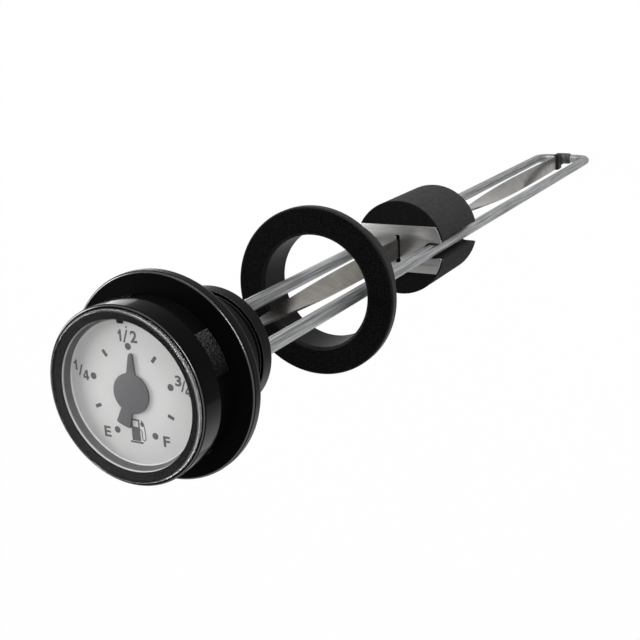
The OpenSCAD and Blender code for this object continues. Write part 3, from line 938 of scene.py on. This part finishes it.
disc_r = 3.85
finger_root, finger_tip, finger_flat, finger_end, finger_point = 0.93, 0.45, 0.12, 7.3, 7.68
tail_root, tail_tip, tail_flat, tail_side, tail_end = 1.25, 1.52, 0.8, 6.65, 6.8
tail_back = 16
rest_turn = -4.7
pointer_bottom, pointer_t = 11.1, 0.32
finger_angle = math.degrees(math.asin(finger_root / disc_r))
tail_angle = math.degrees(math.asin(tail_root / disc_r))
pointer_outline = [(finger_tip, finger_end), (finger_flat, finger_point)]
pointer_outline += [(-finger_flat, finger_point), (-finger_tip, finger_end)]
pointer_outline += circle(
    disc_r, start=90 + finger_angle, end=270 - tail_back - tail_angle, steps=40
)
tail_turn = Matrix.Rotation(math.radians(-tail_back), 2)
tail_points = [(-tail_tip, -tail_side), (-tail_flat, -tail_end)]
tail_points += [(tail_flat, -tail_end), (tail_tip, -tail_side)]
pointer_outline += [tuple(tail_turn @ Vector(point)) for point in tail_points]
pointer_outline += circle(
    disc_r, start=270 - tail_back + tail_angle, end=450 - finger_angle, steps=40
)
pointer_mesh = flat_mesh([pointer_outline], pointer_bottom, pointer_bottom + pointer_t, 0.05)
pointer_mesh.transform(Matrix.Rotation(math.radians(rest_turn), 4, "Z"))
fit("painted_pointer", pointer_mesh, pointer_paint, "pointer_set", "pointer", "pointer")

# Guide rods
# One aluminium rod bent into a long U, its ends pressed into the neck. Drawing it through a die
# leaves fine bright and dark lines along it, which follow it round the bends.

# Drawn aluminium: mid grey, satin along the rod, with streaks of white and dark die lines, drawn
# coarse enough to show.
drawn, tree, shader, lay = new_finish("drawn_aluminium_rod", bent=True)
along = add_node(tree, "ShaderNodeMapping", {"Vector": lay, "Scale": (1, 1, 0.02)}).outputs[0]
lines = add_node(tree, "ShaderNodeTexNoise", {"Vector": along, "Scale": grain(0.35), "Detail": 5})
patches = add_node(tree, "ShaderNodeTexNoise", {"Vector": lay, "Scale": grain(5), "Detail": 3})
line_tone = add_node(tree, "ShaderNodeValToRGB", {"Fac": lines.outputs["Fac"]})
stops = line_tone.color_ramp.elements
stops[0].position, stops[0].color = 0.32, linear("#6a6b6c")
stops[1].position, stops[1].color = 0.68, linear("#b0b1b2")
patch_tone = add_node(
    tree, "ShaderNodeMapRange", {"Value": patches.outputs["Fac"], "To Min": 0.82, "To Max": 1.12}
)
rod_tone = add_node(
    tree,
    "ShaderNodeVectorMath",
    {0: line_tone.outputs["Color"], "Scale": patch_tone.outputs["Result"]},
    operation="SCALE",
)
rod_rough = add_node(
    tree, "ShaderNodeMapRange", {"Value": lines.outputs["Fac"], "To Min": 0.5, "To Max": 0.62}
)
rod_lines = add_node(
    tree, "ShaderNodeBump", {"Height": lines.outputs["Fac"], "Strength": 0.25, "Distance": mm(0.03)}
)
set_inputs(
    shader,
    {
        "Base Color": rod_tone.outputs["Vector"],
        "Metallic": 1.0,
        "Roughness": rod_rough.outputs["Result"],
        "Normal": rod_lines.outputs["Normal"],
    },
)

bar_z, bend_r = -272.4, 4.6
corner_x, corner_z = leg_x - bend_r, bar_z + bend_r
leg_steps, bend_steps, bar_steps, rod_sides = 90, 20, 6, 48
leg_levels = [leg_top + (corner_z - leg_top) * k / leg_steps for k in range(leg_steps)]
bend_turns = [math.pi / 2 * k / bend_steps for k in range(bend_steps + 1)]
route = [(-leg_x, z, 180) for z in leg_levels]
for a in bend_turns:
    x, z = -corner_x - bend_r * math.cos(a), corner_z - bend_r * math.sin(a)
    route.append((x, z, 180 + math.degrees(a)))
route += [(-corner_x + 2 * corner_x * k / bar_steps, bar_z, 270) for k in range(1, bar_steps)]
for a in bend_turns:
    x, z = corner_x + bend_r * math.sin(a), corner_z - bend_r * math.cos(a)
    route.append((x, z, 270 + math.degrees(a)))
route += [(leg_x, z, 360) for z in leg_levels[::-1]]

rod_shape = bmesh.new()
rod_rings, rod_lay, travelled = [], [], 0.0
for i, (x, z, outward) in enumerate(route):
    if i:
        travelled += math.hypot(x - route[i - 1][0], z - route[i - 1][1])
    out_x, out_z = math.cos(math.radians(outward)), math.sin(math.radians(outward))
    ring = []
    for k in range(rod_sides):
        angle = 2 * math.pi * k / rod_sides
        out, up = rod_r * math.cos(angle), rod_r * math.sin(angle)
        ring.append(rod_shape.verts.new(mm(x + out_x * out, up, z + out_z * out)))
        rod_lay.extend(mm(out, up, travelled))
    rod_rings.append(ring)
for ring, following in zip(rod_rings, rod_rings[1:]):
    for k in range(rod_sides):
        n = (k + 1) % rod_sides
        rod_shape.faces.new([ring[k], ring[n], following[n], following[k]])
rod_shape.faces.new(rod_rings[0])
rod_shape.faces.new(rod_rings[-1])
rod_mesh = closed_mesh(rod_shape)
rod_mesh.attributes.new("lay", "FLOAT_VECTOR", "POINT").data.foreach_set("vector", rod_lay)
fit("bent_guide_rod", rod_mesh, drawn, "frame", "rod", "guide_rods", crease=50)

# Twisted ribbon
# A thin rolled strip of aluminium, twisted cold along its length: evenly over the float's
# travel, more slowly below it, and left straight in the stem and in the foot.

# Rolled strip: warm grey, satin, with faint rolling lines along it, drawn coarse enough to show.
rolled, tree, shader, lay = new_finish("rolled_aluminium_strip", bent=True)
along = add_node(tree, "ShaderNodeMapping", {"Vector": lay, "Scale": (1, 1, 0.02)}).outputs[0]
lines, line_tone = mottled(tree, along, 0.3, 4, "#716e69", "#88847e")
patches = add_node(tree, "ShaderNodeTexNoise", {"Vector": lay, "Scale": grain(4), "Detail": 4})
strip_tone = add_node(
    tree, "ShaderNodeMapRange", {"Value": patches.outputs["Fac"], "To Min": 0.55, "To Max": 1.4}
)
strip_colour = add_node(
    tree,
    "ShaderNodeVectorMath",
    {0: line_tone, "Scale": strip_tone.outputs["Result"]},
    operation="SCALE",
)
strip_lines = add_node(
    tree, "ShaderNodeBump", {"Height": lines, "Strength": 0.15, "Distance": mm(0.02)}
)
set_inputs(
    shader,
    {
        "Base Color": strip_colour.outputs["Vector"],
        "Metallic": 1.0,
        "Roughness": 0.26,
        "Normal": strip_lines.outputs["Normal"],
    },
)

float_top = -107.2
foot_top = -261.9
stem_bottom = -17.3
twist_rate = 1.4
steady_bottom = -220.26
slit_level = float_top + 0.3
ribbon_sizes = {
    "width": mm(5.2),
    "thickness": mm(0.5),
    "bottom": mm(foot_top - 2.6),
    "top": mm(stem_bottom + 4.6),
    "slices": 260,
    "held_below": mm(foot_top),
    "steady_above": mm(steady_bottom),
    "held_above": mm(stem_bottom),
    "foot_turn": math.radians(-90),
    "steady_turn": math.radians(90 + twist_rate * (steady_bottom - slit_level)),
    "top_turn": math.radians(90 + twist_rate * (stem_bottom - slit_level)),
}
twist, size_of = new_tree("ribbon_twist", ribbon_sizes)
length = add_node(
    twist, "ShaderNodeMath", {0: size_of["top"], 1: size_of["bottom"]}, operation="SUBTRACT"
)
strip_size = add_node(
    twist,
    "ShaderNodeCombineXYZ",
    {0: size_of["width"], 1: size_of["thickness"], 2: length.outputs[0]},
)
strip = add_node(
    twist,
    "GeometryNodeMeshCube",
    {
        "Size": strip_size.outputs[0],
        "Vertices X": 5,
        "Vertices Y": 2,
        "Vertices Z": size_of["slices"],
    },
)
both = add_node(twist, "ShaderNodeMath", {0: size_of["top"], 1: size_of["bottom"]}, operation="ADD")
middle = add_node(twist, "ShaderNodeMath", {0: both.outputs[0], 1: 0.5}, operation="MULTIPLY")
lift = add_node(twist, "ShaderNodeCombineXYZ", {2: middle.outputs[0]})
raised = add_node(
    twist, "GeometryNodeSetPosition", {"Geometry": strip.outputs["Mesh"], "Offset": lift.outputs[0]}
)
place = add_node(twist, "GeometryNodeInputPosition").outputs[0]
kept_lay = add_node(
    twist,
    "GeometryNodeStoreNamedAttribute",
    {"Geometry": raised.outputs[0], "Name": "lay", "Value": place},
    data_type="FLOAT_VECTOR",
    domain="POINT",
)
height = add_node(twist, "ShaderNodeSeparateXYZ", {0: place}).outputs["Z"]
stretches = []
for low, high, first_turn, last_turn in (
    ("held_below", "steady_above", "foot_turn", "steady_turn"),
    ("steady_above", "held_above", "steady_turn", "top_turn"),
):
    stretch = add_node(
        twist,
        "ShaderNodeMapRange",
        {
            "Value": height,
            "From Min": size_of[low],
            "From Max": size_of[high],
            "To Min": size_of[first_turn],
            "To Max": size_of[last_turn],
        },
    )
    stretches.append(stretch.outputs["Result"])
above = add_node(
    twist, "ShaderNodeMath", {0: height, 1: size_of["steady_above"]}, operation="GREATER_THAN"
)
turn = add_node(
    twist,
    "ShaderNodeMix",
    {"Factor": above.outputs[0], "A": stretches[0], "B": stretches[1]},
    data_type="FLOAT",
)
turned_place = add_node(
    twist,
    "ShaderNodeVectorRotate",
    {"Vector": place, "Angle": turn.outputs["Result"]},
    rotation_type="Z_AXIS",
)
twisted = add_node(
    twist,
    "GeometryNodeSetPosition",
    {"Geometry": kept_lay.outputs[0], "Position": turned_place.outputs[0]},
)
real = add_node(twist, "GeometryNodeRealizeInstances", {0: twisted.outputs[0]})
finished = add_node(
    twist, "GeometryNodeSetMaterial", {"Geometry": real.outputs[0], "Material": rolled}
)
add_node(twist, "NodeGroupOutput", {0: finished.outputs[0]})

strip_mesh = node_mesh(twist, ribbon_sizes)
fit("twisted_strip", strip_mesh, rolled, "drive", "ribbon", "twisted_ribbon", crease=50)

# Ribbon's foot and its bearing
# The strip's lower end is crimped in a small dark moulding that turns on a pin; the pin stands
# in a sleeve that is moulded round the cross bar of the rod.

# Glass-filled nylon: dull, with a visible fibre grain; charcoal for the foot and the carrier at
# the ribbon's other end, and a paler grey for the sleeve on the bar.
nylons = []
for name, dark, light in (
    ("moulded_charcoal_nylon", "#161616", "#262626"),
    ("moulded_grey_nylon", "#383938", "#5a5b5a"),
):
    nylons.append(plain_finish(name, 0.4, 4, dark, light, 0.55, gloss=0.15, relief=(0.2, 0.03)))
charcoal_nylon, grey_nylon = nylons

foot_bottom = foot_top - 4.4
foot_half_t, foot_half_w, foot_corner = 1.0, 3.05, 0.5
slot_half_t, slot_half_w, slot_bottom = 0.28, 2.63, foot_top - 2.63
foot_outline = []
for start, x_sign, y_sign in ((0, 1, 1), (90, -1, 1), (180, -1, -1), (270, 1, -1)):
    corner_at = x_sign * (foot_half_t - foot_corner), y_sign * (foot_half_w - foot_corner)
    foot_outline += circle(foot_corner, *corner_at, start, start + 90, 6)
slot = rectangle(-slot_half_t, -slot_half_w, slot_half_t, slot_half_w)
# The tools that cut the slot, the pin's hole and the bearing's hole reach past what they cut.
foot_tools = [flat_mesh([slot], slot_bottom, foot_top + 1.9)]
foot_tools.append(rod_blank(0.63, foot_bottom - 3.7, slot_bottom + 0.03))
foot_mesh = machined(flat_mesh([foot_outline], foot_bottom, foot_top, 0.2), foot_tools)
fit("crimped_foot", foot_mesh, charcoal_nylon, "drive", "carrier", "ribbon_foot")

sleeve_r, sleeve_half, sleeve_edge = 2.1, 3.25, 1.1
boss_r, boss_top = 1.9, foot_bottom - 0.1
pin_hole_r, pin_hole_bottom = 0.65, boss_top - 3
along_bar = Matrix.Translation(mm(0, 0, bar_z)) @ Matrix.Rotation(math.pi / 2, 4, "Y")
sleeve_corners = [
    (0, -sleeve_half, 0),
    (sleeve_r, -sleeve_half, sleeve_edge),
    (sleeve_r, sleeve_half, sleeve_edge),
    (0, sleeve_half, 0),
]
sleeve_mesh = turned(rounded(sleeve_corners), 64)
sleeve_mesh.transform(along_bar)
boss_corners = [(0, bar_z, 0), (boss_r, bar_z, 0), (boss_r, boss_top, 0.25), (0, boss_top, 0)]
drilled_boss = machined(
    turned(rounded(boss_corners), 64), [rod_blank(pin_hole_r, pin_hole_bottom, boss_top + 6.4)]
)
bar_tool = rod_blank(rod_r + rod_play, -5, 5)
bar_tool.transform(along_bar)
bearing_mesh = machined(machined(sleeve_mesh, [drilled_boss], "UNION"), [bar_tool])
fit("moulded_bar_bearing", bearing_mesh, grey_nylon, "frame", "carrier", "foot_bearing")

# Float and its guide
# The float is turned from closed-cell nitrile foam, with a groove for each leg of the rod and a
# passage for the strip. A stamped plate on its top runs on the rods and grips the strip.

# Closed-cell foam: a matt dark grey skin, with end faces much darker and marked with a cell pattern.
foam, tree, shader, where = new_finish("cut_closed_cell_nitrile_foam")
cells = add_node(tree, "ShaderNodeTexVoronoi", {"Vector": where, "Scale": grain(0.45)})
_, skin = mottled(tree, where, 1.2, 5, "#282829", "#424243")
cut = add_node(
    tree,
    "ShaderNodeMix",
    {"Factor": cells.outputs["Distance"], "A": linear("#181818"), "B": linear("#0a0a0a")},
    data_type="RGBA",
)
normal = add_node(tree, "ShaderNodeTexCoord").outputs["Normal"]
upright = add_node(tree, "ShaderNodeSeparateXYZ", {0: normal})
end_face = add_node(tree, "ShaderNodeMath", {0: upright.outputs["Z"]}, operation="ABSOLUTE")
tone = add_node(
    tree,
    "ShaderNodeMix",
    {"Factor": end_face.outputs[0], "A": skin, "B": cut.outputs["Result"]},
    data_type="RGBA",
)
pits = add_node(
    tree, "ShaderNodeBump", {"Height": cells.outputs["Distance"], "Strength": 0.6, "Distance": mm(0.1)}
)
set_inputs(
    shader,
    {
        "Base Color": tone.outputs["Result"],
        "Roughness": 0.8,
        "Normal": pits.outputs["Normal"],
        "Specular IOR Level": 0.03,
    },
)

float_r, float_bore_r = 12.95, 3.5
float_bottom = float_top - 27
float_corners = [
    (float_bore_r, float_bottom, 0.3),
    (float_r, float_bottom, 1.4),
    (float_r, float_top, 0.3),
    (float_bore_r, float_top, 0.2),
]
groove_r, past_float = 3.0, 20
groove_outline = circle(groove_r, leg_x, 0, 90, 270, 24)
groove_outline += [(past_float, -groove_r), (past_float, groove_r)]
groove_tools = [flat_mesh([groove_outline], float_bottom - 1, float_top + 1)]
groove_tools.append(groove_tools[0].copy())
groove_tools[1].transform(Matrix.Rotation(math.pi, 4, "Z"))
float_mesh = machined(turned(rounded(float_corners, support=0.15)), groove_tools)
fit("foam_float", float_mesh, foam, "float", "float", "float_body")

# Stamped aluminium sheet: light satin grey with fine brush lines across the plate, drawn coarse
# enough to show.
sheet, tree, shader, where = new_finish("stamped_aluminium_sheet")
brushed = add_node(tree, "ShaderNodeMapping", {"Vector": where, "Scale": (0.05, 1, 1)}).outputs[0]
lines, tone = mottled(tree, brushed, 0.4, 4, "#7a7a79", "#969695")
sheet_lines = add_node(
    tree, "ShaderNodeBump", {"Height": lines, "Strength": 0.15, "Distance": mm(0.02)}
)
set_inputs(
    shader,
    {
        "Base Color": tone,
        "Metallic": 1.0,
        "Roughness": 0.28,
        "Normal": sheet_lines.outputs["Normal"],
    },
)

guide_r, guide_half, guide_t = 12.65, 6.45, 0.6
notch_half = 2.1
side_arc = math.degrees(math.asin(guide_half / guide_r))
notch_arc = math.degrees(math.asin(notch_half / guide_r))
half_outline = circle(guide_r, start=-side_arc, end=-notch_arc, steps=12)
half_outline += circle(notch_half, leg_x, 0, 270, 90, 20)
half_outline += circle(guide_r, start=notch_arc, end=side_arc, steps=12)
guide_outline = half_outline + [(-x, -y) for x, y in half_outline]
slit_half, slit_end, hook = 0.5, 3.7, 0.3
hole_r, hole_y = 0.72, -3.3
hole_angle = math.degrees(math.asin(slit_half / hole_r))
slit_outline = [(-slit_half, slit_end - 0.5), (-slit_half - hook, slit_end - 0.4)]
slit_outline += [(-slit_half - hook, slit_end), (slit_half, slit_end)]
slit_outline += circle(hole_r, 0, hole_y, 90 - hole_angle, hole_angle - 270, 20)
guide_mesh = flat_mesh([guide_outline, slit_outline], float_top, float_top + guide_t, 0.08)
fit("stamped_float_guide", guide_mesh, sheet, "float", "plate", "float_guide")

# Gasket
# A loose black rubber moulding for the tank opening: a flat rim that goes under the flange and
# a thick sleeve that fits over the neck.

# Moulded rubber: black and dull, with a fine sandy grain that scatters the light.
rubber, tree, shader, where = new_finish("moulded_black_rubber")
sand = add_node(tree, "ShaderNodeTexNoise", {"Vector": where, "Scale": grain(0.35), "Detail": 5})
speck = add_node(
    tree, "ShaderNodeMapRange", {"Value": sand.outputs["Fac"], "From Min": 0.4, "From Max": 0.66}
)
tone = add_node(
    tree,
    "ShaderNodeMix",
    {"Factor": speck.outputs["Result"], "A": linear("#040404"), "B": linear("#161616")},
    data_type="RGBA",
)
sandy = add_node(
    tree, "ShaderNodeBump", {"Height": sand.outputs["Fac"], "Strength": 0.8, "Distance": mm(0.06)}
)
set_inputs(
    shader,
    {
        "Base Color": tone.outputs["Result"],
        "Roughness": 0.5,
        "Normal": sandy.outputs["Normal"],
        "Specular IOR Level": by_normal(tree, 0.14, 0.1, 0.01),
    },
)

gasket_bore_r, collar_r, brim_r = 13.5, 16.4, 20.2
collar_length, brim_t = 10.5, 2.4
gasket_place = (-0.1, 0.4, -57.8)
gasket_corners = [
    (gasket_bore_r, -collar_length, 0.3),
    (collar_r, -collar_length, 0.4),
    (collar_r, -brim_t, 0.3),
    (brim_r, -brim_t, 0.4),
    (brim_r, 0, 0.5),
    (gasket_bore_r, 0, 0.9),
]
gasket_mesh = turned(rounded(gasket_corners))
gasket_mesh.transform(Matrix.Translation(mm(*gasket_place)))
fit("rubber_gasket", gasket_mesh, rubber, "gasket", "gasket", "gasket")

# Brass, steel, magnets and plates inside the head
# The small turned and pressed pieces keep their own solids; each gets the finish of its metal:
# two colours, metallic, roughness and the size of its spots.

metal_finishes = {
    # Turned brass: warm yellow with a soft shine.
    "turned_brass": ("#a8823c", "#c39c52", 1.0, 0.3, 0.2),
    # Ground steel: cold grey and bright.
    "ground_steel": ("#a9abae", "#c6c8ca", 1.0, 0.22, 0.3),
    # Sintered ferrite: charcoal, with a fine speckle.
    "sintered_ferrite": ("#38383b", "#4c4c50", 0.0, 0.5, 0.15),
    # Blanked sheet for the neck's plate: dull grey.
    "blanked_aluminium_plate": ("#7c7e80", "#989a9c", 1.0, 0.45, 0.5),
}
metals = {}
for name, (dark, light, metallic, rough, spot_size) in metal_finishes.items():
    metals[name] = plain_finish(name, spot_size, 3, dark, light, rough, metallic=metallic)

inner_finishes = {
    "pointer_bush": metals["turned_brass"],
    "drive_bearing": metals["turned_brass"],
    "neck_bush": metals["turned_brass"],
    "pointer_pivot": metals["ground_steel"],
    "drive_pin": metals["ground_steel"],
    "foot_pin": metals["ground_steel"],
    "pointer_magnet": metals["sintered_ferrite"],
    "drive_magnet": metals["sintered_ferrite"],
    "neck_plate": metals["blanked_aluminium_plate"],
    "magnet_carrier": charcoal_nylon,
}
for node_name, finish in inner_finishes.items():
    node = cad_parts[node_name]
    node.data.materials.clear()
    node.data.materials.append(finish)
